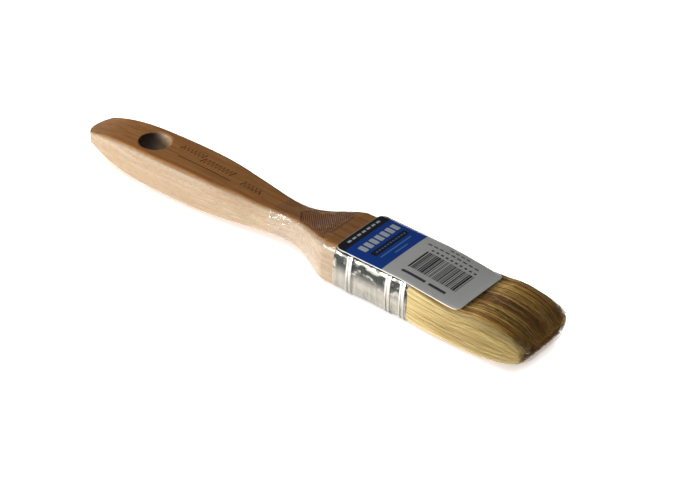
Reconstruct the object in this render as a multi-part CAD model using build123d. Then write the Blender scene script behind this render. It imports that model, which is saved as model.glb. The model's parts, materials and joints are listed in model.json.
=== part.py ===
"""Flat 30 mm paint brush, wrapped for sale, in millimetres.

Modelled with x from the handle's end to the bristle tip, y across the width and z towards the labelled
face. The last step moves the origin to the bottom centre of the whole brush.
"""

import os

from build123d import *

# Driving dimensions: lengths along the brush
handle_length = 128.7
shoulder_start = 123.0
ferrule_length = 33.0
bristle_length = 49.8
tenon_length = 13.0
resin_length = 7.0
strip_length = 9.0

# Ferrule: a tinned steel band around a bowed, round-cornered section
ferrule_half_width = 15.0
ferrule_half_thickness = 8.9
ferrule_bow = 1.0
ferrule_corner = 3.4
ferrule_wall = 0.4
bead_places = [6.4, 8.1, 23.8, 25.6, 30.2, 31.9]
bead_width = 0.9
bead_height = 0.4
bead_round = 0.3
seam_width = 5.0
seam_height = 0.35

# Handle: place, half width, height above and depth below the centre plane
handle_stations = [
    (0.0, 7.0, 2.4, 0.2),
    (6.0, 8.4, 4.2, 2.2),
    (14.0, 9.8, 5.9, 4.7),
    (26.0, 10.9, 7.0, 6.8),
    (40.0, 11.3, 7.3, 7.3),
    (56.0, 11.1, 7.4, 7.4),
    (70.0, 9.9, 6.9, 6.9),
    (84.0, 8.0, 6.0, 6.0),
    (96.0, 6.4, 5.4, 5.4),
    (104.0, 6.7, 5.7, 5.6),
    (111.0, 9.0, 6.6, 6.4),
    (117.0, 12.1, 7.8, 7.7),
    (shoulder_start, 14.7, 8.7, 8.7),
]
handle_round = 0.34
side_bow = 0.13
handle_end_radius = 10.0
hole_place = 30.2
hole_radius = 6.0
hole_rim_round = 1.1
hole_face = 7.05

# Bristles: distance from the ferrule's mouth, half width, height above and depth below the centre plane
bristle_stations = [
    (0.0, 14.4, 8.2, 8.2),
    (6.0, 15.1, 7.9, 8.5),
    (18.0, 15.6, 7.0, 8.2),
    (28.0, 15.5, 7.8, 7.9),
    (36.0, 15.1, 7.2, 7.2),
    (42.0, 14.7, 6.1, 6.1),
    (46.5, 14.1, 4.8, 4.6),
    (bristle_length, 13.4, 2.9, 2.7),
]
tip_radius = 42.0
bristle_round = 0.42
strip_half_thickness = 1.6
layer_gap = 0.1
well_length = 26.0
flex_radius = 8.6
flex_clearance = 0.3

# Nails that hold the ferrule to the tenon, two on each broad face
nail_radius = 0.6
nail_length = 6.0
nail_head_radius = 1.1
nail_head_height = 0.3
nail_place = 4.2
nail_offset = 7.0

# Printed card on the labelled face, and the clear shrink film around it
label_start = 129.3
label_length = 52.5
label_half_width = 13.1
label_thickness = 0.3
label_corner = 2.2
label_drop = 1.7
film_start = 92.0
film_thickness = 0.12
film_gap = 0.2
film_overhang = 0.8
bristle_ease = 0.25
film_rises = [1.0, 0.95, 0.3, 0.0, 0.0, 0.0, 0.0]
waist_half_width = 6.7
waist_half_thickness = 5.4

# A fitted piece stands this far off the piece around it
fit_gap = 0.05
overcut = 40.0

mouth = handle_length + ferrule_length
tip = mouth + bristle_length
flex_x = mouth + flex_clearance + flex_radius
resin_start = handle_length + tenon_length + fit_gap
root_start = resin_start + resin_length + fit_gap
strip_end = root_start + strip_length
bead_top = ferrule_half_thickness + bead_height


def section(x, half_width, half_thickness, bow, corner):
    """The outline across the brush at x: flat faces, bowed narrow sides and round corners."""
    side = half_width - bow
    outline = [
        Line((-side, half_thickness), (side, half_thickness)),
        ThreePointArc((side, half_thickness), (half_width, 0), (side, -half_thickness)),
        Line((side, -half_thickness), (-side, -half_thickness)),
        ThreePointArc((-side, -half_thickness), (-half_width, 0), (-side, half_thickness)),
    ]
    face = make_face(outline)
    face = fillet(face.vertices(), corner)
    return Plane(origin=(x, 0, 0), x_dir=(0, 1, 0), z_dir=(1, 0, 0)) * face


def lifted_section(x, half_width, above, below, roundness):
    """A section by its height above and depth below the centre plane, its corners a share of its thickness."""
    half_thickness = (above + below) / 2
    face = section(x, half_width, half_thickness, side_bow * half_thickness, roundness * half_thickness)
    return Pos(0, 0, (above - below) / 2) * face


def ferrule_section(x, outwards):
    """The ferrule's outer section, moved outwards, or inwards if outwards is below zero."""
    return section(
        x,
        ferrule_half_width + outwards,
        ferrule_half_thickness + outwards,
        ferrule_bow,
        ferrule_corner + outwards,
    )


def block(low_x, high_x, low_z, high_z):
    """A box across the whole width, used to cut or keep a stretch of the brush."""
    box = Box(high_x - low_x, overcut, high_z - low_z)
    return Pos((low_x + high_x) / 2, 0, (low_z + high_z) / 2) * box


def cross_cylinder(x, radius):
    """A cylinder lying across the brush, on its centre plane."""
    return Pos(x, 0, 0) * Rot(90, 0, 0) * Cylinder(radius, overcut)


def nails(radius, half_gap, length):
    """The four nail places: one cylinder each, from half_gap outwards or inwards by length."""
    found = []
    for face in (1, -1):
        for side in (1, -1):
            place = Pos(
                handle_length + nail_place,
                side * nail_offset,
                face * (half_gap + length / 2),
            )
            found.append(place * Cylinder(radius, abs(length)))
    return found


def flared_hole():
    """The hanging hole's empty space: a straight bore that rounds out over both faces."""
    face = hole_face
    start = face - hole_rim_round
    wide = hole_radius + hole_rim_round
    mid_radius = wide - hole_rim_round * 0.5**0.5
    mid_height = start + hole_rim_round * 0.5**0.5
    outline = [
        Line((0, -overcut), (wide, -overcut)),
        Line((wide, -overcut), (wide, -face)),
        ThreePointArc((wide, -face), (mid_radius, -mid_height), (hole_radius, -start)),
        Line((hole_radius, -start), (hole_radius, start)),
        ThreePointArc((hole_radius, start), (mid_radius, mid_height), (wide, face)),
        Line((wide, face), (wide, overcut)),
        Line((wide, overcut), (0, overcut)),
        Line((0, overcut), (0, -overcut)),
    ]
    space = revolve(Plane.XZ * make_face(outline), Axis.Z, 360)
    return Pos(hole_place, 0, 0) * space


def make_handle():
    """Beech handle with a hanging hole, a waist, a full-width shoulder and a tenon in the ferrule."""
    sections = [lifted_section(*station, handle_round) for station in handle_stations]
    grip = loft(sections)
    end_cut = block(-1, handle_end_radius / 2, -overcut, overcut)
    end_cut -= Pos(handle_end_radius, 0, 0) * Cylinder(handle_end_radius, overcut)
    grip -= end_cut
    grip -= flared_hole()
    shoulder = extrude(
        sections[-1], handle_length - shoulder_start - fit_gap, dir=(1, 0, 0)
    )
    tenon = extrude(
        ferrule_section(handle_length - 1, -ferrule_wall - fit_gap), tenon_length + 1, dir=(1, 0, 0)
    )
    handle = grip + shoulder + tenon
    for shank in nails(nail_radius + fit_gap, ferrule_half_thickness, -nail_length - fit_gap):
        handle -= shank
    return handle


def make_ferrule():
    """Steel band with three pairs of rolled beads and a lapped seam down its back."""
    band = extrude(ferrule_section(handle_length, 0), ferrule_length, dir=(1, 0, 0))
    for place in bead_places:
        ring = extrude(
            ferrule_section(handle_length + place - bead_width / 2, bead_height), bead_width, dir=(1, 0, 0)
        )
        ends = ring.faces().sort_by(Axis.X)
        ring = fillet(ends[0].edges() + ends[-1].edges(), bead_round)
        band += ring
    seam = Box(ferrule_length, seam_width, 2 * seam_height)
    band += Pos(handle_length + ferrule_length / 2, 0, -ferrule_half_thickness) * seam
    inside = extrude(
        ferrule_section(handle_length - 1, -ferrule_wall), ferrule_length + 2, dir=(1, 0, 0)
    )
    band -= inside
    for shank in nails(nail_radius + fit_gap, ferrule_half_thickness + 1, -nail_length):
        band -= shank
    return band


def make_nails():
    """Four flat-headed nails as separate solids, their heads flat on the ferrule."""
    shanks = nails(nail_radius, ferrule_half_thickness + nail_head_height, -nail_length)
    heads = nails(nail_head_radius, ferrule_half_thickness, nail_head_height)
    whole = [shank + head for shank, head in zip(shanks, heads)]
    return Compound(children=[nail.solid() for nail in whole])


def make_resin():
    """Setting resin that fills the ferrule behind the bristles."""
    return extrude(
        ferrule_section(resin_start, -ferrule_wall - fit_gap), resin_length, dir=(1, 0, 0)
    )


def make_strip():
    """Wooden filler strip that holds the two bristle layers apart, which leaves a well for paint."""
    length = strip_end - root_start
    width = 2 * (ferrule_half_width - ferrule_wall - ferrule_bow - ferrule_corner / 2)
    strip = Box(length, width, 2 * (strip_half_thickness - fit_gap))
    return Pos(root_start + length / 2, 0, 0) * strip


def tip_cut(end):
    """What to cut away so that the tip is slightly bowed in plan and ends at the given place."""
    corner = block(end - tip_radius / 8, end + 1, -overcut, overcut)
    return corner - Pos(end - tip_radius, 0, 0) * Cylinder(tip_radius, overcut)


def bristle_bundle():
    """The free bristles as one closed shape, from the mouth to the rounded chisel tip."""
    sections = [
        lifted_section(mouth + distance, half_width, above, below, bristle_round)
        for distance, half_width, above, below in bristle_stations
    ]
    return loft(sections) - tip_cut(tip)


def paint_well():
    """The wedge between the layers: open behind, closing towards the tip."""
    half_gap = layer_gap / 2
    outline = Polyline(
        (root_start - 1, strip_half_thickness),
        (mouth, strip_half_thickness),
        (mouth + well_length, half_gap),
        (tip + 1, half_gap),
        (tip + 1, -half_gap),
        (mouth + well_length, -half_gap),
        (mouth, -strip_half_thickness),
        (root_start - 1, -strip_half_thickness),
        close=True,
    )
    face = Plane.XZ * make_face(outline)
    return extrude(face, overcut / 2, both=True)


def make_bristles():
    """Front and back layers, each as a fixed root and a free tuft that flexes about flex_x."""
    bundle = bristle_bundle()
    root = extrude(
        ferrule_section(root_start, -ferrule_wall - fit_gap), mouth - root_start, dir=(1, 0, 0)
    )
    root += bundle & block(mouth, flex_x, -overcut, overcut)
    root -= cross_cylinder(flex_x, flex_radius + flex_clearance)
    tuft = bundle & (block(flex_x, tip + 1, -overcut, overcut) + cross_cylinder(flex_x, flex_radius))
    well = paint_well()
    front = block(0, tip + 1, 0, overcut)
    back = block(0, tip + 1, -overcut, 0)
    root -= well
    tuft -= well
    return {
        "bristle_root_front": root & front,
        "bristle_root_back": root & back,
        "bristles_front": tuft & front,
        "bristles_back": tuft & back,
    }


def make_label():
    """Printed card: flat over the ferrule's beads, then easing down onto the bristles."""
    rest = bead_top + fit_gap
    end = label_start + label_length
    side = Polyline(
        (label_start, rest),
        (mouth, rest),
        (end, rest - label_drop),
        (end, rest - label_drop + label_thickness),
        (mouth, rest + label_thickness),
        (label_start, rest + label_thickness),
        close=True,
    )
    card = extrude(Plane.XZ * make_face(side), label_half_width, both=True)
    plan = RectangleRounded(label_length, 2 * label_half_width, label_corner)
    middle = label_start + label_length / 2
    return card & (Pos(middle, 0, 0) * extrude(plan, overcut))


def film_rings():
    """Where the film passes: place, half width, height above and depth below the centre plane."""
    cover = fit_gap + label_thickness + film_gap
    rings = [(film_start, waist_half_width, waist_half_thickness, waist_half_thickness)]
    rings += [station for station in handle_stations if station[0] > film_start]
    for x in (handle_length, label_start, mouth):
        rings.append((x, ferrule_half_width + bead_height, bead_top + cover, bead_top))
    for (distance, half_width, above, below), rise in zip(bristle_stations[1:], film_rises):
        rings.append(
            (mouth + distance, half_width + bristle_ease, above + bristle_ease + rise, below + bristle_ease)
        )
    distance, half_width, above, below = bristle_stations[-1]
    rings.append((tip + film_overhang, half_width, above, below))
    return rings


def film_shape(outwards):
    """The closed shape inside the film, moved outwards."""
    faces = [
        lifted_section(x, half_width + outwards, above + outwards, below + outwards, handle_round)
        for x, half_width, above, below in film_rings()
    ]
    return loft(faces, ruled=True)


def make_film():
    """Clear shrink film from the waist to just past the bristle tip, open at both ends."""
    film = film_shape(film_gap + film_thickness) - film_shape(film_gap)
    return film - tip_cut(tip + film_overhang)


parts = {
    "handle": make_handle(),
    "ferrule": make_ferrule(),
    "ferrule_nails": make_nails(),
    "setting_resin": make_resin(),
    "filler_strip": make_strip(),
    **make_bristles(),
    "label_card": make_label(),
    "shrink_film": make_film(),
}

boxes = [part.bounding_box() for part in parts.values()]
middle_x = (min(box.min.X for box in boxes) + max(box.max.X for box in boxes)) / 2
to_origin = Pos(-middle_x, 0, -min(box.min.Z for box in boxes))

os.makedirs("parts", exist_ok=True)
for name, part in parts.items():
    export_step(to_origin * part, f"parts/{name}.step")
print("origin moved by", to_origin.position)
print("flex axis", (to_origin * Pos(flex_x, 0, 0)).position)
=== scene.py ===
"""A flat paint brush in its shop wrapping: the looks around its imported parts. Lengths are in metres."""

import json
import math
import random

import bmesh
import bpy
from mathutils import Matrix, Vector, noise
from mathutils.bvhtree import BVHTree


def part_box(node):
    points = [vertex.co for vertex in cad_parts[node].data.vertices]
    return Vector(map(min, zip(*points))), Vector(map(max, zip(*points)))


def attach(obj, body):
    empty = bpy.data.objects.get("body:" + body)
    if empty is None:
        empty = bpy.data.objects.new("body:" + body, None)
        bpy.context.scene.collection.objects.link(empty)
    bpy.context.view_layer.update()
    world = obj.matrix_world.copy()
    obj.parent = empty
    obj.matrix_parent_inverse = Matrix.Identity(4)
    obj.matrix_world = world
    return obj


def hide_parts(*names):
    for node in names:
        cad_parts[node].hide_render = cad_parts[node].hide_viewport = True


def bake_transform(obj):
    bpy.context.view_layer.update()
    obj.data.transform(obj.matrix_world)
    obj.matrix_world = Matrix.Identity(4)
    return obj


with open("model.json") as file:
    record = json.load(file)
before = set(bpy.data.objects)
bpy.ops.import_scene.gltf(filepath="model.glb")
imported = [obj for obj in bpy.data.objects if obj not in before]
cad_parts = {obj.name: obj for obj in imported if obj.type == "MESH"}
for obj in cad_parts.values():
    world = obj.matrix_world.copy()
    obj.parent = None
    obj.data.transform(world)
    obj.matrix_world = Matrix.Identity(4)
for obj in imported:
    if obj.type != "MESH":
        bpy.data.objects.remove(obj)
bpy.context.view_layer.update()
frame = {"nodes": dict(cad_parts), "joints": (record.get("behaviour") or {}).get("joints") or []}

MM = 0.001
BODY = "brush_body"
TUFT = "bristle_tuft"

handle_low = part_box("handle")[0]
ferrule_low, ferrule_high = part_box("ferrule")
card_low, card_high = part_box("label_card")
film_low, film_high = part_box("shrink_film")
joint_x, _, joint_z = frame["joints"][0]["pos_m"]

# Places along the brush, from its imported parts.
FERRULE = ferrule_low.x
MOUTH = ferrule_high.x
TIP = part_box("bristles_front")[1].x
CENTRE = joint_z
HOLE_X = handle_low.x + 30.2 * MM
HOLE_RADIUS = 6.0 * MM
BEAD_PAIRS = (7.25 * MM, 24.7 * MM, 31.05 * MM)

# The bristle bundle at the ferrule's mouth. The strands start ROOT_DEPTH inside it.
BRISTLE_LENGTH = TIP - MOUTH
BUNDLE_HALF_WIDTH = 15 * MM
BUNDLE_HALF_THICKNESS = 8.9 * MM
ROOT_DEPTH = 1.5 * MM

# The card as drawn: a little larger than its packed sheet, and about a degree askew.
CARD_THICKNESS = 0.3 * MM
CARD_SKEW = 0.018
CARD_START = card_low.x - 0.7 * MM
CARD_END = card_high.x + 2.4 * MM
CARD_HALF_WIDTH = 14.4 * MM


# ---------------------------------------------------------------- node helpers

MATH = "ShaderNodeMath"
VECTOR = "ShaderNodeVectorMath"
SPLIT = "ShaderNodeSeparateXYZ"
JOIN = "ShaderNodeCombineXYZ"
NOISE = "ShaderNodeTexNoise"
RAMP = "ShaderNodeValToRGB"
RANGE = "ShaderNodeMapRange"
MIX = "ShaderNodeMix"
BUMP = "ShaderNodeBump"

TIMES = {"operation": "MULTIPLY"}
PLUS = {"operation": "ADD"}
MINUS = {"operation": "SUBTRACT"}
DIVIDED = {"operation": "DIVIDE"}
POWER = {"operation": "POWER"}
ABSOLUTE = {"operation": "ABSOLUTE"}
SMOOTH = {"interpolation_type": "SMOOTHSTEP"}
COLOURS = {"data_type": "RGBA"}

# A Mix node's numbered sockets when it mixes colours.
FACTOR, UNDER, OVER = 0, 6, 7
MIXED = 2


def connect(tree, node, inputs):
    """Fills a node's inputs, each with a value, a socket, or a node whose first output is meant."""
    for name, value in inputs.items():
        if isinstance(value, bpy.types.Node):
            value = value.outputs[0]
        if isinstance(value, bpy.types.NodeSocket):
            tree.links.new(value, node.inputs[name])
        else:
            node.inputs[name].default_value = value


def add(tree, kind, *values, stops=(), **settings):
    """Adds a node with its settings; values fill its inputs in order, or one dict does by their names.

    Stops are a colour ramp's, each a position and a hex colour."""
    made = tree.nodes.new(kind)
    for name, value in settings.items():
        setattr(made, name, value)
    by_name = bool(values) and isinstance(values[0], dict)
    connect(tree, made, values[0] if by_name else dict(enumerate(values)))
    if stops:
        elements = made.color_ramp.elements
        while len(elements) < len(stops):
            elements.new(0.5)
        for element, (position, code) in zip(elements, stops):
            element.position = position
            element.color = colour(code)
    return made


def colour(code):
    """An sRGB hex colour as linear RGBA."""
    parts = [int(code[i : i + 2], 16) / 255 for i in (1, 3, 5)]
    linear = [c / 12.92 if c <= 0.04045 else ((c + 0.055) / 1.055) ** 2.4 for c in parts]
    return (*linear, 1.0)


def new_material(name):
    """A node material with its Principled shader, ready for more nodes."""
    material = bpy.data.materials.new(name)
    material.use_nodes = True
    tree = material.node_tree
    return material, tree, tree.nodes["Principled BSDF"]


def grain(tree, along, across, detail=2.0):
    """Noise from 0 to 1, in patches about along metres long on x and across metres wide on y and z."""
    place = add(tree, "ShaderNodeTexCoord").outputs["Object"]
    scale = (1 / along, 1 / across, 1 / across)
    place = add(tree, "ShaderNodeMapping", {"Vector": place, "Scale": scale})
    return add(tree, NOISE, {"Vector": place, "Scale": 1.0, "Detail": detail})


# ------------------------------------------------------------------ materials


def sanded_beech():
    """Sanded bare beech: faces that look up or down painted darker and warmer as painted shade, the sides
    paler, short ray flecks, and a painted shadow on one wall of the hole.
    """
    material, tree, shader = new_material("sanded_beech")
    streaks = grain(tree, 38 * MM, 1.1 * MM, detail=4)
    tone = grain(tree, 70 * MM, 7 * MM)
    rays = grain(tree, 1.7 * MM, 0.34 * MM)
    face = add(tree, RAMP, streaks, stops=[(0.25, "#955c2b"), (0.5, "#b47941"), (0.75, "#c78d52")])
    edge = add(tree, RAMP, streaks, stops=[(0.25, "#957e63"), (0.5, "#a58f73"), (0.75, "#b59f84")])
    # Painted shade: faces that look up or down get the darker, warmer ramp and the sides the paler one, because
    # the top lies in shade.
    normal = add(tree, "ShaderNodeNewGeometry").outputs["Normal"]
    upright = add(tree, MATH, add(tree, SPLIT, normal).outputs["Z"], **ABSOLUTE)
    painted_top_shade = add(tree, RANGE, upright, 0.62, 0.99, **SMOOTH)
    base = add(tree, MIX, {FACTOR: painted_top_shade, UNDER: edge, OVER: face}, **COLOURS).outputs[MIXED]
    clouds = add(tree, RANGE, tone, 0.4, 0.75, 0.0, 0.3, **SMOOTH)
    base = add(tree, MIX, {FACTOR: clouds, UNDER: base, OVER: colour("#98734a")}, **COLOURS).outputs[MIXED]
    flecks = add(tree, RANGE, rays, 0.54, 0.66, 0.0, 0.5, **SMOOTH)
    base = add(tree, MIX, {FACTOR: flecks, UNDER: base, OVER: colour("#86623f")}, **COLOURS).outputs[MIXED]
    # Painted shadow: the hole's wall on the -x side, facing +x, is painted near black-brown where the key light
    # does not reach into the hole.
    place = add(tree, "ShaderNodeTexCoord").outputs["Object"]
    from_hole = add(tree, VECTOR, place, (HOLE_X, 0, 0), **MINUS)
    from_hole = add(tree, SPLIT, from_hole).outputs
    flat = add(tree, JOIN, from_hole["X"], from_hole["Y"])
    radius = add(tree, VECTOR, flat, operation="LENGTH").outputs["Value"]
    inside = add(tree, RANGE, radius, HOLE_RADIUS + 0.2 * MM, HOLE_RADIUS + 0.7 * MM, 1.0, 0.0, **SMOOTH)
    entry = add(tree, RANGE, from_hole["X"], -5.5 * MM, 0.5 * MM, 1.0, 0.0, **SMOOTH)
    burn_and_hole_shade = add(tree, MATH, inside, entry, **TIMES)
    base = add(tree, MIX, {FACTOR: burn_and_hole_shade, UNDER: base, OVER: colour("#2b180c")}, **COLOURS).outputs[MIXED]
    roughness = add(tree, RANGE, streaks, 0.2, 0.8, 0.42, 0.56, **SMOOTH)
    relief = add(tree, BUMP, {"Height": rays, "Distance": 0.05 * MM, "Strength": 0.5})
    connect(tree, shader, {"Base Color": base, "Roughness": roughness, "IOR": 1.5, "Normal": relief})
    return material


def burnt_beech(name, dark, light):
    """Beech scorched by a hot stamp: red-brown, dull, uneven."""
    material, tree, shader = new_material(name)
    burn_and_hole_shade = grain(tree, 0.8 * MM, 0.5 * MM)
    tint = add(tree, RAMP, burn_and_hole_shade, stops=[(0.3, dark), (0.7, light)])
    connect(tree, shader, {"Base Color": tint, "Roughness": 0.7})
    return material


def rolled_tinplate():
    """Rolled tinned steel: a bright mirror with a faint haze, its upper half painted dark in patches as a
    painted reflection of the dark room, and painted highlights on its beads.
    """
    material, tree, shader = new_material("rolled_tinplate")
    haze = grain(tree, 1.2 * MM, 9 * MM, detail=3)
    dents = grain(tree, 6 * MM, 4 * MM, detail=1)
    blotches = grain(tree, 3.5 * MM, 2.5 * MM)
    place = add(tree, SPLIT, add(tree, "ShaderNodeTexCoord").outputs["Object"]).outputs
    # Painted reflection: patches on the upper half are painted near black, for the dark room that the ferrule
    # reflects there.
    upper = add(tree, RANGE, place["Z"], CENTRE - 2 * MM, CENTRE + 4 * MM, **SMOOTH)
    dark_reflection_patches = add(tree, RANGE, blotches, 0.36, 0.5, **SMOOTH)
    painted_dark_reflection = add(tree, MATH, upper, dark_reflection_patches, **TIMES)
    bright = add(tree, RAMP, haze, stops=[(0.3, "#989388"), (0.7, "#b0aca1")])
    dull = colour("#333534")
    base = add(tree, MIX, {FACTOR: painted_dark_reflection, UNDER: bright, OVER: dull}, **COLOURS).outputs[MIXED]
    # Painted highlights: the beads' upper parts are painted near white, for the key light's glints on them.
    highlight_height = add(tree, RANGE, place["Z"], CENTRE - 3 * MM, CENTRE + 4 * MM, 0.12, 0.9, **SMOOTH)
    highlight_white = colour("#e4e2dc")
    for bead_pair in BEAD_PAIRS:
        distance = add(tree, MATH, place["X"], FERRULE + bead_pair, **MINUS)
        distance = add(tree, MATH, distance, **ABSOLUTE)
        near = add(tree, RANGE, distance, 0.7 * MM, 1.4 * MM, 1.0, 0.0, **SMOOTH)
        painted_bead_highlight = add(tree, MATH, near, highlight_height, **TIMES)
        base = add(tree, MIX, {FACTOR: painted_bead_highlight, UNDER: base, OVER: highlight_white}, **COLOURS).outputs[MIXED]
    roughness = add(tree, RANGE, haze, 0.3, 0.75, 0.12, 0.28, **SMOOTH)
    relief = add(tree, BUMP, {"Height": dents, "Distance": 0.3 * MM, "Strength": 0.7})
    connect(tree, shader, {"Base Color": base, "Metallic": 1.0, "Roughness": roughness, "Normal": relief})
    return material


def plain_steel():
    """Drawn nail wire: grey, a little rough."""
    material, tree, shader = new_material("drawn_nail_steel")
    drawn = grain(tree, 0.4 * MM, 0.4 * MM)
    tint = add(tree, RAMP, drawn, stops=[(0.3, "#8f8d88"), (0.7, "#b5b3ad")])
    connect(tree, shader, {"Base Color": tint, "Metallic": 1.0, "Roughness": 0.4})
    return material


def cast_resin():
    """Poured setting resin: dark, glossy."""
    material, tree, shader = new_material("cast_resin")
    cloud = grain(tree, 3 * MM, 3 * MM)
    tint = add(tree, RAMP, cloud, stops=[(0.3, "#2c2014"), (0.7, "#4a3822")])
    connect(tree, shader, {"Base Color": tint, "Roughness": 0.25})
    return material


def hog_bristle():
    """Boiled hog bristle: golden strands of mixed tone, painted paler at the sides as painted light, browner on
    the broad faces as painted shade, and painted darker towards the tip as painted shade.
    """
    material, tree, shader = new_material("hog_bristle")
    tone = add(tree, "ShaderNodeAttribute", attribute_name="shade").outputs["Fac"]
    reach = add(tree, "ShaderNodeAttribute", attribute_name="reach").outputs["Fac"]
    side = add(tree, "ShaderNodeAttribute", attribute_name="side").outputs["Fac"]
    # Painted light and shade: the narrow sides get a paler copy of the colour, the broad faces a darker,
    # browner one.
    lit_side_stops = [(0.0, "#bfa362"), (0.45, "#cfb777"), (1.0, "#e0ce94")]
    shaded_face_stops = [(0.0, "#68410c"), (0.45, "#b27e2a"), (0.8, "#dfad4b"), (1.0, "#fbe292")]
    pale = add(tree, RAMP, tone, stops=lit_side_stops)
    brown = add(tree, RAMP, tone, stops=shaded_face_stops)
    # Painted shade: the broad-face strands darken towards the tip, whose end faces away from the key light.
    tip_shade = add(tree, RANGE, reach, 0.75, 1.0, 0.0, 0.4, **SMOOTH)
    brown = add(tree, MIX, {FACTOR: tip_shade, UNDER: brown, OVER: colour("#5f401a")}, **COLOURS).outputs[MIXED]
    base = add(tree, MIX, {FACTOR: side, UNDER: brown, OVER: pale}, **COLOURS).outputs[MIXED]
    connect(tree, shader, {"Base Color": base, "Roughness": 0.42, "IOR": 1.55})
    return material


def bristle_bed():
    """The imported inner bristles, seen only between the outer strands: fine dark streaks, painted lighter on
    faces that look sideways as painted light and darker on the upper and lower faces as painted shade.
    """
    material, tree, shader = new_material("packed_hog_bristle")
    streaks = grain(tree, 14 * MM, 0.22 * MM, detail=3)
    # Painted light and shade: sideways faces get the lighter ramp, upper and lower faces the darker one.
    normal = add(tree, "ShaderNodeNewGeometry").outputs["Normal"]
    painted_side_light = add(tree, MATH, add(tree, SPLIT, normal).outputs["Y"], **ABSOLUTE)
    painted_side_light = add(tree, RANGE, painted_side_light, 0.5, 0.9, **SMOOTH)
    dark = add(tree, RAMP, streaks, stops=[(0.3, "#3a240d"), (0.55, "#6a4a20"), (0.8, "#94703a")])
    light = add(tree, RAMP, streaks, stops=[(0.3, "#8a6b38"), (0.55, "#b39357"), (0.8, "#cbb07a")])
    base = add(tree, MIX, {FACTOR: painted_side_light, UNDER: dark, OVER: light}, **COLOURS).outputs[MIXED]
    relief = add(tree, BUMP, {"Height": streaks, "Distance": 0.2 * MM, "Strength": 1.0})
    connect(tree, shader, {"Base Color": base, "Roughness": 0.6, "Normal": relief})
    return material


def printed(name, code):
    """Ink on coated card: a flat colour with a faint mottle and a soft sheen."""
    material, tree, shader = new_material(name)
    mottle = grain(tree, 0.5 * MM, 0.5 * MM, detail=3)
    mottle = add(tree, RANGE, mottle, 0.3, 0.7, 0.0, 0.1, **SMOOTH)
    base = add(tree, MIX, {FACTOR: mottle, UNDER: colour(code), OVER: colour("#7d7d7d")}, **COLOURS)
    connect(tree, shader, {"Base Color": base.outputs[MIXED], "Roughness": 0.32, "Specular IOR Level": 0.3})
    return material


def shrunk_film():
    """Clear PVC shrink film: seen through, with glints along its creases, more of them where it gathers."""
    material, tree, shader = new_material("shrunk_clear_film")
    ripple = grain(tree, 2.2 * MM, 1.3 * MM, detail=3)
    place = add(tree, SPLIT, add(tree, "ShaderNodeTexCoord").outputs["Object"]).outputs
    gathered = add(tree, RANGE, place["X"], FERRULE - 14 * MM, FERRULE + 7 * MM, 1.0, 0.0, **SMOOTH)
    strength = add(tree, MATH, gathered, 0.8, 0.15, operation="MULTIPLY_ADD")
    relief = add(tree, BUMP, {"Height": ripple, "Distance": 0.5 * MM, "Strength": strength})
    glossy = {"Base Color": colour("#f4f4f2"), "Metallic": 0.9, "Roughness": 0.14, "Normal": relief}
    connect(tree, shader, glossy)
    edge = add(tree, "ShaderNodeLayerWeight", {"Blend": 0.18, "Normal": relief}).outputs["Fresnel"]
    haze = add(tree, MATH, gathered, 0.05, edge, operation="MULTIPLY_ADD")
    veil = add(tree, MATH, haze, 0.38, operation="MINIMUM")
    both = add(tree, "ShaderNodeMixShader", veil, add(tree, "ShaderNodeBsdfTransparent"), shader)
    connect(tree, tree.nodes["Material Output"], {"Surface": both})
    return material


def floor_paper():
    """Plain pale backdrop paper, matt, and lit a little from within."""
    material, tree, shader = new_material("pale_backdrop")
    white = (1, 1, 1, 1)
    connect(tree, shader, {"Base Color": colour("#f4f4f4"), "Roughness": 0.9, "Specular IOR Level": 0.0})
    connect(tree, shader, {"Emission Color": white, "Emission Strength": 0.42})
    return material


BEECH = sanded_beech()
BURN = burnt_beech("stamped_beech", "#35110a", "#5f2712")
HATCH = burnt_beech("lightly_stamped_beech", "#4a2711", "#6e4122")
TINPLATE = rolled_tinplate()
NAIL = plain_steel()
RESIN = cast_resin()
BRISTLE = hog_bristle()
BRISTLE_BED = bristle_bed()
FILM = shrunk_film()
CARD_WHITE = printed("coated_card", "#dddcd8")
INK_BLACK = printed("black_ink", "#17181b")
INK_BLUE = printed("blue_ink", "#024aaf")
INK_PALE_BLUE = printed("pale_blue_ink", "#5f92d2")
INK_WHITE = printed("white_ink", "#d3d9df")
INK_GREY = printed("grey_ink", "#4b4e52")


# --------------------------------------------------------------- mesh helpers


def finish_piece(piece, body, slot, *nodes, bends=False):
    """Puts a finished mesh on its body; a piece that crosses the bristle joint only gets its placement baked
    into its points. Hides the CAD nodes it stands in for.
    """
    if bends:
        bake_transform(piece)
    else:
        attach(piece, body)
    if nodes:
        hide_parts(*nodes)


def mesh_object(name, points, faces, material, smooth=True):
    """A mesh object at the origin, from points and faces."""
    mesh = bpy.data.meshes.new(name)
    mesh.from_pydata([tuple(p) for p in points], [], faces)
    mesh.materials.append(material)
    mesh.polygons.foreach_set("use_smooth", [smooth] * len(mesh.polygons))
    mesh.update()
    made = bpy.data.objects.new(name, mesh)
    bpy.context.scene.collection.objects.link(made)
    return made


def surface_of(names, *others):
    """A search tree over some CAD nodes' surfaces at rest, and other meshes."""
    points = []
    faces = []
    for mesh in [frame["nodes"][name].data for name in names] + [other.data for other in others]:
        first = len(points)
        points += [v.co.copy() for v in mesh.vertices]
        faces += [[first + i for i in p.vertices] for p in mesh.polygons]
    return BVHTree.FromPolygons(points, faces)


HANDLE_SURFACE = surface_of(["handle"])


def on_handle(x, y, lift):
    """The point on the handle's upper face above (x, y), lifted off it."""
    hit = HANDLE_SURFACE.ray_cast(Vector((x, y, 1.0)), Vector((0, 0, -1)))[0]
    return Vector((x, y, hit.z + lift)) if hit else None


# ---------------------------------------------------------------------- parts


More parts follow.
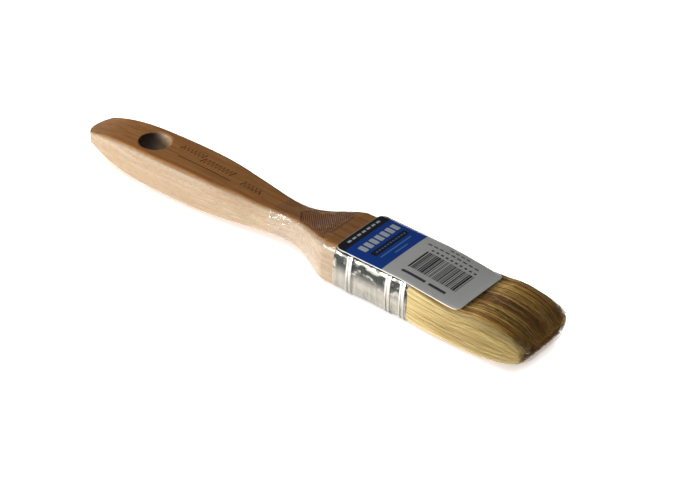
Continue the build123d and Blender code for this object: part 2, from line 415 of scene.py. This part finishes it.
def carried_over_parts():
    """Gives each CAD part that keeps its own shape its real finish."""
    finishes = {
        "handle": BEECH,
        "ferrule": TINPLATE,
        "ferrule_nails": NAIL,
        "setting_resin": RESIN,
        "filler_strip": BEECH,
    }
    for name, material in finishes.items():
        part = frame["nodes"][name]
        part.data.materials.clear()
        part.data.materials.append(material)


def strip_piece(name, lines, width, material):
    """Flat scorched lines on the handle's upper face: each line is a list of (x, y) points."""
    points = []
    faces = []
    lift = 0.02 * MM
    for line in lines:
        track = [Vector((x, y)) for x, y in line]
        first = len(points)
        for i, place in enumerate(track):
            along = track[min(i + 1, len(track) - 1)] - track[max(i - 1, 0)]
            across = Vector((-along.y, along.x)).normalized() * width / 2
            left = on_handle(*(place + across), lift)
            right = on_handle(*(place - across), lift)
            if left and right:
                points += [left, right]
        count = (len(points) - first) // 2
        for i in range(count - 1):
            a = first + 2 * i
            faces.append((a, a + 1, a + 3, a + 2))
    finish_piece(mesh_object(name, points, faces, material, smooth=False), BODY, "beech")


def handle_half_width(x):
    """Half the width of the handle's flat upper face at x, where its edge begins to round over."""
    widest = 16 * MM
    step = 0.1 * MM
    fall = 0.45 * MM
    middle = on_handle(x, 0, 0).z
    y = 0.0
    while y < widest:
        point = on_handle(x, y, 0)
        if point is None or middle - point.z > fall:
            break
        y += step
    return y


def thumb_patch():
    """The scorched hatch where the thumb rests: a double border, and slanting lines inside it."""
    start = FERRULE - 27 * MM
    end = FERRULE - 7.2 * MM
    inset = 0.7 * MM
    border_gap = 0.7 * MM
    steps = 40
    point_share = 0.2
    places = [start + (end - start) * i / steps for i in range(steps + 1)]
    halves = [max(handle_half_width(x) - inset, 0) for x in places]
    reach = [half * min(1.0, i / steps / point_share) for i, half in enumerate(halves)]

    def half_at(x):
        t = (x - start) / (end - start) * steps
        i = max(0, min(steps - 1, int(t)))
        return reach[i] + (reach[i + 1] - reach[i]) * (t - i)

    outline = []
    for gap in (0.0, border_gap):
        for side in (1, -1):
            outline.append([(x, side * max(half_at(x) - gap, 0)) for x in places])
        outline.append([(end - gap, y * (half_at(end) - gap)) for y in (-1, -0.5, 0, 0.5, 1)])
    strip_piece("thumb_patch_border", outline, 0.28 * MM, HATCH)

    pitch = 1.0 * MM
    slant = 0.9
    overrun = 12 * MM
    line_width = 28 * MM
    line_steps = 59
    clear = 1.2 * MM
    hatch = []
    offset = start - overrun
    while offset < end + overrun:
        run = []
        for i in range(line_steps + 1):
            y = (i / line_steps - 0.5) * line_width
            x = offset - y * slant
            if start + 1 * MM < x < end - clear and abs(y) < half_at(x) - clear:
                run.append((x, y))
        if len(run) > 2:
            hatch.append(run)
        offset += pitch
    strip_piece("thumb_patch_hatch", hatch, 0.3 * MM, HATCH)


def grip_marks():
    """Plain scorched zigzags and a rule along the grip, in mm from the handle's end and its middle."""
    stride = 0.9
    zigzags = []
    for start, end, middle, height in ((41, 53, 3.4, 1.3), (53, 69, 1.4, 1.7), (74, 83, -0.4, 1.3)):
        line = []
        for i in range(int((end - start) / stride) + 1):
            y = middle + (height if i % 2 else -height)
            line.append((handle_low.x + (start + stride * i) * MM, y * MM))
        zigzags.append(line)
    strip_piece("grip_zigzags", zigzags, 0.62 * MM, BURN)
    rule = [(handle_low.x + (44 + 2 * i) * MM, -2.6 * MM) for i in range(14)]
    strip_piece("grip_rule", [rule], 0.4 * MM, BURN)


# -------------------------------------------------------------------- bristles


def half_width_curve():
    """The bundle's half width from mouth to tip, as a share of its width at the mouth."""
    return [(0.0, 0.96), (0.12, 1.02), (0.36, 1.07), (0.6, 1.06), (0.8, 1.03), (0.93, 0.99), (1.0, 0.93)]


def upper_curve():
    """The height of the labelled face's bristles: held down by the card, then springing up past it."""
    under_card = [(0.0, 0.94), (0.12, 0.89), (0.33, 0.79), (0.46, 0.79)]
    past_card = [(0.56, 0.9), (0.64, 0.93), (0.75, 0.86), (0.88, 0.68), (0.95, 0.46), (1.0, 0.14)]
    return under_card + past_card


def lower_curve():
    """The depth of the back's bristles."""
    return [(0.0, 0.94), (0.12, 0.96), (0.36, 0.93), (0.6, 0.9), (0.75, 0.82), (0.9, 0.6), (1.0, 0.32)]


def bundle_shape(tree, share, stops):
    """The height at share of a smooth curve through stops, none of them above top."""
    top = 1.2
    shape = add(tree, "ShaderNodeFloatCurve", {"Value": share})
    points = shape.mapping.curves[0].points
    while len(points) < len(stops):
        points.new(0.5, 0.5)
    for point, (x, y) in zip(points, stops):
        point.location = (x, y / top)
    shape.mapping.update()
    return add(tree, MATH, shape, top, **TIMES)


def bristle_tree():
    """Strands that start on the mouth's outline, follow the bundle's shape and wander a little."""
    tree = bpy.data.node_groups.new("bristle_strands", "GeometryNodeTree")
    made = {}
    sockets = [
        ("Count", "NodeSocketInt", 3000),
        ("Seed", "NodeSocketInt", 1),
        ("Side", "NodeSocketFloat", 1.0),
        ("Length", "NodeSocketFloat", BRISTLE_LENGTH),
        ("Half width", "NodeSocketFloat", BUNDLE_HALF_WIDTH),
        ("Half thickness", "NodeSocketFloat", BUNDLE_HALF_THICKNESS),
        ("Corner", "NodeSocketFloat", 3.4 * MM),
        ("Strand radius", "NodeSocketFloat", 0.12 * MM),
        ("Depth", "NodeSocketFloat", 0.16),
        ("Stray", "NodeSocketFloat", 0.5 * MM),
        ("Material", "NodeSocketMaterial", None),
    ]
    for name, kind, default in sockets:
        socket = tree.interface.new_socket(name, in_out="INPUT", socket_type=kind)
        if default is not None:
            socket.default_value = default
        made[name] = socket.identifier
    tree.interface.new_socket("Geometry", in_out="OUTPUT", socket_type="NodeSocketGeometry")
    given = add(tree, "NodeGroupInput").outputs

    def draw(offset):
        seed = add(tree, MATH, given["Seed"], offset, **PLUS)
        return add(tree, "FunctionNodeRandomValue", {"Seed": seed}, data_type="FLOAT").outputs[1]

    def stored(name):
        read = add(tree, "GeometryNodeInputNamedAttribute", {"Name": name}, data_type="FLOAT")
        return read.outputs["Attribute"]

    # A straight line on each of Count points, each with its own random numbers.
    line = add(tree, "GeometryNodeCurvePrimitiveLine", {"Start": (0, 0, 0), "End": (1, 0, 0)})
    line = add(tree, "GeometryNodeResampleCurve", {"Curve": line, "Count": 11})
    points = add(tree, "GeometryNodeMeshLine", {"Count": given["Count"], "Offset": (0, 0, 0)})
    strands = add(tree, "GeometryNodeInstanceOnPoints", {"Points": points, "Instance": line})
    drawn = {"turn": 11, "depth": 23, "end": 37, "tone": 41, "lean_y": 53, "lean_z": 67}
    for name, offset in drawn.items():
        strands = add(
            tree,
            "GeometryNodeStoreNamedAttribute",
            {"Geometry": strands, "Name": name, "Value": draw(offset)},
            data_type="FLOAT",
            domain="INSTANCE",
        )
    strands = add(tree, "GeometryNodeRealizeInstances", {"Geometry": strands})
    factor = add(tree, "GeometryNodeSplineParameter").outputs["Factor"]
    turn = stored("turn")
    depth = stored("depth")

    # The root, on the mouth's rounded outline.
    width = add(tree, MATH, given["Half width"], 2, **TIMES)
    height = add(tree, MATH, given["Half thickness"], 2, **TIMES)
    outline = add(tree, "GeometryNodeCurvePrimitiveQuadrilateral", {"Width": width, "Height": height})
    rounded = {"Curve": outline, "Radius": given["Corner"], "Count": 8}
    outline = add(tree, "GeometryNodeFilletCurve", rounded, mode="POLY")
    root = add(tree, "GeometryNodeSampleCurve", {"Curves": outline, "Factor": turn}, mode="FACTOR")
    root = add(tree, SPLIT, root.outputs["Position"]).outputs
    root_y = root["X"]
    root_z = add(tree, MATH, root["Y"], **ABSOLUTE)

    # How far the strand reaches, shorter by chance and towards the bundle's sides.
    shortfall = add(tree, MATH, stored("end"), 2.0, **POWER)
    shortfall = add(tree, MATH, shortfall, 0.07, **TIMES)
    ends = add(tree, MATH, 1.0, shortfall, **MINUS)
    bow = add(tree, MATH, root_y, root_y, **TIMES)
    bow = add(tree, MATH, bow, 260 * MM, **DIVIDED)
    whole = add(tree, MATH, given["Length"], ROOT_DEPTH, **PLUS)
    reach = add(tree, MATH, whole, ends, **TIMES)
    reach = add(tree, MATH, reach, bow, **MINUS)
    x = add(tree, MATH, factor, reach, **TIMES)
    share = add(tree, MATH, x, whole, **DIVIDED)

    # The bundle's width and thickness there, on the strand's own side.
    wide = bundle_shape(tree, share, half_width_curve())
    is_upper = add(tree, MATH, given["Side"], 0.0, operation="GREATER_THAN")
    is_lower = add(tree, MATH, 1.0, is_upper, **MINUS)
    upper = add(tree, MATH, bundle_shape(tree, share, upper_curve()), is_upper, **TIMES)
    lower = add(tree, MATH, bundle_shape(tree, share, lower_curve()), is_lower, **TIMES)
    thick = add(tree, MATH, upper, lower, **PLUS)

    # Deeper strands lie further in, and near the tip they close on the centre plane.
    buried = add(tree, MATH, depth, 1.4, **POWER)
    keep_y = add(tree, MATH, buried, given["Depth"], **TIMES)
    keep_y = add(tree, MATH, 1.0, keep_y, **MINUS)
    closing = add(tree, RANGE, share, 0.6, 1.0, given["Depth"], 0.97, **SMOOTH)
    keep_z = add(tree, MATH, buried, closing, **TIMES)
    keep_z = add(tree, MATH, 1.0, keep_z, **MINUS)

    # Strands stray more towards their ends, each by itself and with its clump.
    along = add(tree, MATH, share, 1.5, **POWER)
    clump_x = add(tree, MATH, share, 2.2, **TIMES)
    clump_y = add(tree, MATH, turn, 34.0, **TIMES)
    clump_z = add(tree, MATH, depth, 1.2, **TIMES)
    clump_z = add(tree, MATH, clump_z, given["Side"], **PLUS)
    clump = add(tree, JOIN, clump_x, clump_y, clump_z)
    clump = add(tree, NOISE, {"Vector": clump, "Scale": 1.0, "Detail": 2.0})
    clump = add(tree, SPLIT, clump.outputs["Color"]).outputs

    def wander(name, wave, scale):
        lean = add(tree, MATH, stored(name), 0.5, **MINUS)
        lean = add(tree, MATH, lean, 2.2, **TIMES)
        wave = add(tree, MATH, wave, 0.5, **MINUS)
        wave = add(tree, MATH, wave, 3.0, **TIMES)
        both = add(tree, MATH, lean, wave, **PLUS)
        stray = add(tree, MATH, given["Stray"], scale, **TIMES)
        both = add(tree, MATH, both, stray, **TIMES)
        return add(tree, MATH, both, along, **TIMES)

    x = add(tree, MATH, x, MOUTH - ROOT_DEPTH, **PLUS)
    y = add(tree, MATH, root_y, keep_y, **TIMES)
    y = add(tree, MATH, y, wide, **TIMES)
    y = add(tree, MATH, y, wander("lean_y", clump["X"], 1.7), **PLUS)
    z = add(tree, MATH, root_z, keep_z, **TIMES)
    z = add(tree, MATH, z, thick, **TIMES)
    z = add(tree, MATH, z, wander("lean_z", clump["Y"], 1.0), **PLUS)
    z = add(tree, MATH, z, given["Side"], **TIMES)
    z = add(tree, MATH, z, CENTRE, **PLUS)
    place = add(tree, JOIN, x, y, z)
    strands = add(tree, "GeometryNodeSetPosition", {"Geometry": strands, "Position": place})

    # What the bristle material reads: how near the side and the tip, and the strand's own tone.
    # The side share marks the strands near the narrow sides, which the bristle material paints paler as painted
    # light.
    edge = add(tree, MATH, root_y, **ABSOLUTE)
    edge = add(tree, MATH, edge, given["Half width"], **DIVIDED)
    side = add(tree, RANGE, edge, 0.86, 0.97, **SMOOTH)
    streak_y = add(tree, MATH, turn, 130.0, **TIMES)
    streak_z = add(tree, MATH, depth, 2.0, **TIMES)
    streak = add(tree, JOIN, share, streak_y, streak_z)
    streak = add(tree, NOISE, {"Vector": streak, "Scale": 1.0, "Detail": 1.0})
    coarse = add(tree, MATH, clump["Z"], 0.45, **TIMES)
    fine = add(tree, MATH, streak, 0.55, **TIMES)
    shade = add(tree, MATH, coarse, fine, **PLUS)
    shade = add(tree, MATH, shade, 0.5, **MINUS)
    shade = add(tree, MATH, shade, 3.4, **TIMES)
    shade = add(tree, MATH, shade, 0.1, **PLUS)
    own_tone = add(tree, MATH, stored("tone"), 0.75, **TIMES)
    shade = add(tree, MATH, own_tone, shade, **PLUS)
    for name, value in (("reach", share), ("side", side), ("shade", shade)):
        strands = add(
            tree,
            "GeometryNodeStoreNamedAttribute",
            {"Geometry": strands, "Name": name, "Value": value},
            data_type="FLOAT",
            domain="POINT",
        )

    # Three-sided strands that taper to half their thickness, drawn thicker than real bristle so that they show.
    taper = add(tree, MATH, factor, 0.5, **TIMES)
    taper = add(tree, MATH, 1.0, taper, **MINUS)
    radius = add(tree, MATH, taper, given["Strand radius"], **TIMES)
    profile = add(tree, "GeometryNodeCurvePrimitiveCircle", {"Resolution": 3, "Radius": 1.0})
    swept = {"Curve": strands, "Profile Curve": profile, "Scale": radius, "Fill Caps": True}
    strands = add(tree, "GeometryNodeCurveToMesh", swept)
    strands = add(tree, "GeometryNodeSetShadeSmooth", {"Geometry": strands})
    strands = add(tree, "GeometryNodeRealizeInstances", {"Geometry": strands})
    strands = add(tree, "GeometryNodeSetMaterial", {"Geometry": strands, "Material": given["Material"]})
    add(tree, "NodeGroupOutput", {"Geometry": strands})
    return tree, made


def grown(name, tree, sockets, **values):
    """The plain mesh that a geometry tree makes with these values for its named inputs."""
    holder = mesh_object(name + "_holder", [(0, 0, 0)], [], BRISTLE)
    modifier = holder.modifiers.new("grow", "NODES")
    modifier.node_group = tree
    for key, value in values.items():
        modifier[sockets[key.replace("_", " ")]] = value
    bpy.context.view_layer.update()
    evaluated = holder.evaluated_get(bpy.context.evaluated_depsgraph_get())
    mesh = bpy.data.meshes.new_from_object(evaluated)
    mesh.name = name
    holder.modifiers.remove(modifier)
    bpy.data.objects.remove(holder)
    made = bpy.data.objects.new(name, mesh)
    bpy.context.scene.collection.objects.link(made)
    return made


def bristle_strands():
    """Front and back strands, replacing the plain bristle solids."""
    tree, sockets = bristle_tree()
    count = 3200
    for layer, side, seed in (("front", 1.0, 3), ("back", -1.0, 7)):
        name = "bristle_strands_" + layer
        piece = grown(name, tree, sockets, Count=count, Seed=seed, Side=side, Material=BRISTLE)
        finish_piece(piece, TUFT, "bristle", "bristles_" + layer, "bristle_root_" + layer, bends=True)


def bristle_core():
    """The closed inside of the bundle, a little smaller than the strands around it."""
    rings = []
    stations = 26
    around = 40
    core_end = 0.93
    half_width = BUNDLE_HALF_WIDTH * 0.93
    half_thickness = BUNDLE_HALF_THICKNESS * 0.88
    closing_start = 0.8
    closing_length = 0.135
    wide_power, tall_power = 0.45, 0.6
    for i in range(stations):
        share = i / (stations - 1) * core_end
        x = MOUTH - ROOT_DEPTH + share * (BRISTLE_LENGTH + ROOT_DEPTH)
        wide = interpolated(half_width_curve(), share) * half_width
        above = interpolated(upper_curve(), share) * half_thickness
        below = interpolated(lower_curve(), share) * half_thickness
        if share > closing_start:
            shrink = math.sqrt(max(0.0, 1 - ((share - closing_start) / closing_length) ** 2))
            wide *= 0.9 + 0.1 * shrink
            above *= shrink
            below *= shrink
        ring = []
        for k in range(around):
            angle = 2 * math.pi * k / around
            c, s = math.cos(angle), math.sin(angle)
            y = math.copysign(abs(c) ** wide_power, c) * wide
            z = math.copysign(abs(s) ** tall_power, s) * (above if s > 0 else below)
            ring.append(Vector((x, y, CENTRE + z)))
        rings.append(ring)
    piece = ringed_mesh("bristle_core", rings, BRISTLE_BED, closed=True)
    finish_piece(piece, TUFT, "bristle", bends=True)


def interpolated(stops, x):
    """The height of a line through stops at x."""
    for (x0, y0), (x1, y1) in zip(stops, stops[1:]):
        if x <= x1:
            return y0 + (y1 - y0) * (x - x0) / (x1 - x0)
    return stops[-1][1]


def ringed_mesh(name, rings, material, closed):
    """A tube through rings of points; closed ends get a fan."""
    around = len(rings[0])
    points = [p for ring in rings for p in ring]
    faces = []
    for i in range(len(rings) - 1):
        for k in range(around):
            a = i * around + k
            b = i * around + (k + 1) % around
            faces.append((a, b, b + around, a + around))
    if closed:
        faces.append(tuple(range(around)))
        faces.append(tuple(len(points) - 1 - k for k in range(around)))
    piece = mesh_object(name, points, faces, material)
    tidy = bmesh.new()
    tidy.from_mesh(piece.data)
    bmesh.ops.recalc_face_normals(tidy, faces=tidy.faces)
    tidy.to_mesh(piece.data)
    tidy.free()
    return piece


# ------------------------------------------------------------------------ card


def card_height(x, y):
    """The card's upper face: flat over the beads, then eased down onto the bristles, its edges bowed."""
    drop = card_high.z - card_low.z - CARD_THICKNESS
    t = (x - MOUTH + 3 * MM) / (card_high.x - MOUTH + 3 * MM)
    t = max(0.0, min(1.0, t))
    eased = t * t * (3 - 2 * t) * 0.35 + t * 0.65
    bow = 0.3 * MM * (y / (14 * MM)) ** 4
    wave = 0.12 * MM * math.sin(x / (7 * MM)) * (y / (13 * MM))
    return card_high.z - eased * drop - bow + wave * t


def rounded_outline(x0, x1, y0, y1, corners):
    """A rectangle's outline with its own radius at each corner: (x0,y0), (x1,y0), (x1,y1), (x0,y1)."""
    spots = [(x0, y0, 180), (x1, y0, 270), (x1, y1, 0), (x0, y1, 90)]
    outline = []
    for (x, y, start), radius in zip(spots, corners):
        if radius <= 0:
            outline.append((x, y))
            continue
        cx = x + radius if x == x0 else x - radius
        cy = y + radius if y == y0 else y - radius
        for i in range(7):
            angle = math.radians(start + 15 * i)
            outline.append((cx + radius * math.cos(angle), cy + radius * math.sin(angle)))
    return outline


def card_sheet(name, outlines, material, lift, thickness=0.0):
    """Flat shapes laid on the card's curve; with a thickness they are a closed sheet."""
    shape = bmesh.new()
    for outline in outlines:
        shape.faces.new([shape.verts.new((x, y, 0)) for x, y in outline])
    xs = [x for outline in outlines for x, _ in outline]
    step = 1.0 * MM
    cuts = []
    place = min(xs) + step
    while place < max(xs):
        cuts.append(((place, 0, 0), (1, 0, 0)))
        place += step
    cuts += [((0, y * MM, 0), (0, 1, 0)) for y in (-13, -11, -8, -4, 0, 4, 8, 11, 13)]
    for place, normal in cuts:
        geometry = shape.verts[:] + shape.edges[:] + shape.faces[:]
        bmesh.ops.bisect_plane(shape, geom=geometry, dist=1e-7, plane_co=place, plane_no=normal)
    if thickness:
        made = bmesh.ops.extrude_face_region(shape, geom=shape.faces[:])
        for v in [g for g in made["geom"] if isinstance(g, bmesh.types.BMVert)]:
            v.co.z = -thickness
    for v in shape.verts:
        v.co.z += card_height(v.co.x, v.co.y) + lift
        v.co.y -= CARD_SKEW * (v.co.x - card_low.x)
    bmesh.ops.recalc_face_normals(shape, faces=shape.faces)
    if not thickness:
        for face in shape.faces:
            if face.normal.z < 0:
                face.normal_flip()
    mesh = bpy.data.meshes.new(name)
    shape.to_mesh(mesh)
    shape.free()
    mesh.materials.append(material)
    made = bpy.data.objects.new(name, mesh)
    bpy.context.scene.collection.objects.link(made)
    return made


def printed_card():
    """The card and its generic print: a black band, a blue field and a pale field with bars."""
    x0, x1 = CARD_START, CARD_END
    y0, y1 = -CARD_HALF_WIDTH, CARD_HALF_WIDTH
    corner = 2.6 * MM
    card = card_sheet(
        "label_card_sheet",
        [rounded_outline(x0, x1, y0, y1, [corner] * 4)],
        CARD_WHITE,
        0.0,
        CARD_THICKNESS,
    )
    bristles = ["bristles_front", "bristles_back", "bristle_root_front", "bristle_root_back"]
    surface = surface_of(["ferrule", "handle", *bristles], card)
    finish_piece(card, BODY, "printed_card", "label_card", bends=True)

    def layer(name, outlines, material, lift):
        finish_piece(card_sheet(name, outlines, material, lift), BODY, "printed_card", bends=True)

    def ink(name, rectangles, material, lift=0.02 * MM, radius=0.0):
        """Rectangles of print in mm, each from and to along the card, then from and to across it."""
        widened = 1.1 * MM
        outlines = [
            rounded_outline(x0 + a * MM, x0 + b * MM, widened * c, widened * d, [radius] * 4)
            for a, b, c, d in rectangles
        ]
        layer(name, outlines, material, lift)

    margin = 0.12 * MM
    band_end = x0 + 4.5 * MM
    field_end = x0 + 21.3 * MM
    inner = corner - margin
    ground_lift = 0.015 * MM
    band = rounded_outline(x0 + margin, band_end, y0 + margin, y1 - margin, [inner, 0, 0, inner])
    layer("card_band", [band], INK_BLACK, ground_lift)
    field = rounded_outline(band_end, field_end, y0 + margin, y1 - margin, [0] * 4)
    layer("card_field", [field], INK_BLUE, ground_lift)

    ink("card_band_dashes", [(1.7, 2.7, -8.5 + 2.6 * i, -6.7 + 2.6 * i) for i in range(7)], INK_WHITE)
    title = [(7.0, 10.8, -9.0 + 2.9 * i, -6.9 + 2.9 * i) for i in range(7)]
    ink("card_title_blocks", title, INK_WHITE, radius=0.4 * MM)
    ink("card_bar", [(12.4, 15.2, -8.6, 10.0)], INK_BLACK, radius=0.5 * MM)
    bar_dashes = [(13.5, 14.1, -6.8 + 1.5 * i, -5.9 + 1.5 * i) for i in range(11)]
    ink("card_bar_line", bar_dashes, INK_PALE_BLUE, lift=0.03 * MM)
    ink("card_field_lines", [(16.5, 17.1, -8.0, 8.8), (18.6, 19.2, -2.6, 4.2)], INK_PALE_BLUE)

    chance = random.Random(5)
    bars = []
    place = 27.2
    while place < 48.6:
        thick = chance.choice((0.25, 0.25, 0.5, 0.5, 0.75))
        bars.append((place, place + thick, -5.8, 5.2))
        place += thick + chance.choice((0.25, 0.3, 0.5, 0.7))
    ink("card_bars", bars, INK_BLACK)
    ink("card_text_lines", [(27.0, 37.5, -9.3, -8.1), (39.0, 46.5, -9.3, -8.1)], INK_GREY)
    ticks = [(28.0 + 2.1 * i, 29.1 + 2.1 * i, 6.3, 7.1) for i in range(10)]
    notes = [(24.5 + 2.6 * i, 26.3 + 2.6 * i, 8.8, 9.4) for i in range(9)]
    short = [(33.0 + 2.4 * i, 34.6 + 2.4 * i, 10.9, 11.4) for i in range(4)]
    ink("card_small_marks", ticks + notes + short, INK_GREY)
    return surface


# ------------------------------------------------------------------------ film


def shrink_film(wrapped):
    """Clear film drawn tight over the shoulder, ferrule, card and bristles, creased where it shrank."""
    around = 168
    first = film_low.x
    last = film_high.x - 0.1 * MM
    count = int((last - first) / (0.8 * MM))
    last_seen = TIP - 1.6 * MM
    far_off = 40 * MM
    angles = [2 * math.pi * k / around for k in range(around)]
    ways = [Vector((0, math.cos(angle), math.sin(angle))) for angle in angles]
    places = [first + (last - first) * i / count for i in range(count + 1)]

    # How far out the wrapped parts reach, and the same eased along the brush, as film spans a hollow.
    reaches = []
    for x in places:
        middle = Vector((min(x, last_seen), 0, CENTRE))
        hits = [wrapped.ray_cast(middle + way * far_off, -way)[0] for way in ways]
        reaches.append([(hit - middle).length if hit else 5 * MM for hit in hits])
    span = 5
    eased = []
    for i in range(count + 1):
        near = reaches[max(0, i - span) : i + span + 1]
        eased.append([sum(ring[k] for ring in near) / len(near) for k in range(around)])

    # The film gathers most at the waist, and a little at the mouth and at its end, where its lip turns in.
    waist_length = 38 * MM
    mouth_length = 5 * MM
    end_length = 9 * MM
    lip_length = 2.5 * MM
    gap = 0.1 * MM
    crease_height = 0.55 * MM
    rings = []
    for i, x in enumerate(places):
        waist = max(0.0, 1 - (x - first) / waist_length)
        mouth = math.exp(-(((x - MOUTH - 3 * MM) / mouth_length) ** 2))
        end = max(0.0, 1 - (last - x) / end_length)
        lip = 1 - 0.14 * max(0.0, 1 - (last - x) / lip_length) ** 2
        ring = []
        for k, (angle, way) in enumerate(zip(angles, ways)):
            tight = max(eased[i][k], reaches[i][k])
            broad_spot = Vector((x / (5 * MM), math.cos(angle) * 5, math.sin(angle) * 5))
            broad = abs(noise.noise(broad_spot)) * (0.12 + 1.3 * waist + 0.4 * mouth + 0.3 * end)
            fine_spot = Vector((x / (1.9 * MM), angle * 6, 3.7))
            fine = abs(noise.noise(fine_spot)) * (0.04 + 0.75 * waist)
            lift = gap + (broad + fine) * crease_height
            ring.append(Vector((x, 0, CENTRE)) + way * (tight + lift) * lip)
        rings.append(ring)
    piece = ringed_mesh("clear_film_sleeve", rings, FILM, closed=False)
    finish_piece(piece, BODY, "clear_film", "shrink_film", bends=True)


# --------------------------------------------------------- camera, light, floor


def aimed(azimuth, elevation, roll=0.0):
    """A turn whose -Z looks at the object from azimuth, counted from -Y towards +X, and elevation."""
    a, e = math.radians(azimuth), math.radians(elevation)
    back = Vector((math.sin(a) * math.cos(e), -math.cos(a) * math.cos(e), math.sin(e)))
    right = Vector((0, 0, 1)).cross(back).normalized()
    up = back.cross(right)
    turn = Matrix((right, up, back)).transposed()
    return turn @ Matrix.Rotation(math.radians(roll), 3, "Z"), back


def make_camera():
    """The camera, by its azimuth, elevation and distance from the point that it looks at."""
    data = bpy.data.cameras.new("camera")
    camera = bpy.data.objects.new("camera", data)
    bpy.context.scene.collection.objects.link(camera)
    turn, back = aimed(azimuth=35.9, elevation=33.7, roll=3.28)
    aim = Vector((14.5 * MM, -0.3 * MM, 11.3 * MM))
    distance = 0.9188
    camera.matrix_world = Matrix.Translation(aim + back * distance) @ turn.to_4x4()
    data.sensor_width = 36
    data.lens = 132.3
    data.clip_start = 0.01
    data.clip_end = 20
    bpy.context.scene.camera = camera


def make_light(name, azimuth, elevation, distance, size, power, tint="#ffffff"):
    """A soft square lamp that faces the brush."""
    data = bpy.data.lights.new(name, "AREA")
    data.shape = "SQUARE"
    data.size = size
    data.energy = power
    data.color = colour(tint)[:3]
    lamp = bpy.data.objects.new(name, data)
    bpy.context.scene.collection.objects.link(lamp)
    turn, back = aimed(azimuth, elevation)
    lamp.matrix_world = Matrix.Translation(Vector((0, 0, CENTRE)) + back * distance) @ turn.to_4x4()
    return lamp


def make_studio():
    """A pale floor under its own light, a low soft key from the near left, and a weak fill from above."""
    half = 3.0
    corners = [(-half, -half, 0), (half, -half, 0), (half, half, 0), (-half, half, 0)]
    floor = mesh_object("studio_floor", corners, [(0, 1, 2, 3)], floor_paper())
    only_floor = bpy.data.collections.new("floor_light_receivers")
    only_floor.objects.link(floor)
    overhead = make_light("floor_light", azimuth=0, elevation=90, distance=1.5, size=3.0, power=60.0)
    overhead.light_linking.receiver_collection = only_floor
    make_light("key", azimuth=-35, elevation=15, distance=1.2, size=0.5, power=15.2, tint="#fffdf8")
    make_light("fill", azimuth=30, elevation=72, distance=1.3, size=0.7, power=3.0, tint="#f4f8ff")
    world = bpy.data.worlds.new("studio")
    world.use_nodes = True
    background = world.node_tree.nodes["Background"]
    connect(world.node_tree, background, {"Color": colour("#e9ecef"), "Strength": 0.07})
    bpy.context.scene.world = world
    bpy.context.scene.view_settings.view_transform = "Standard"


make_camera()
make_studio()
carried_over_parts()
thumb_patch()
grip_marks()
bristle_core()
bristle_strands()
shrink_film(printed_card())
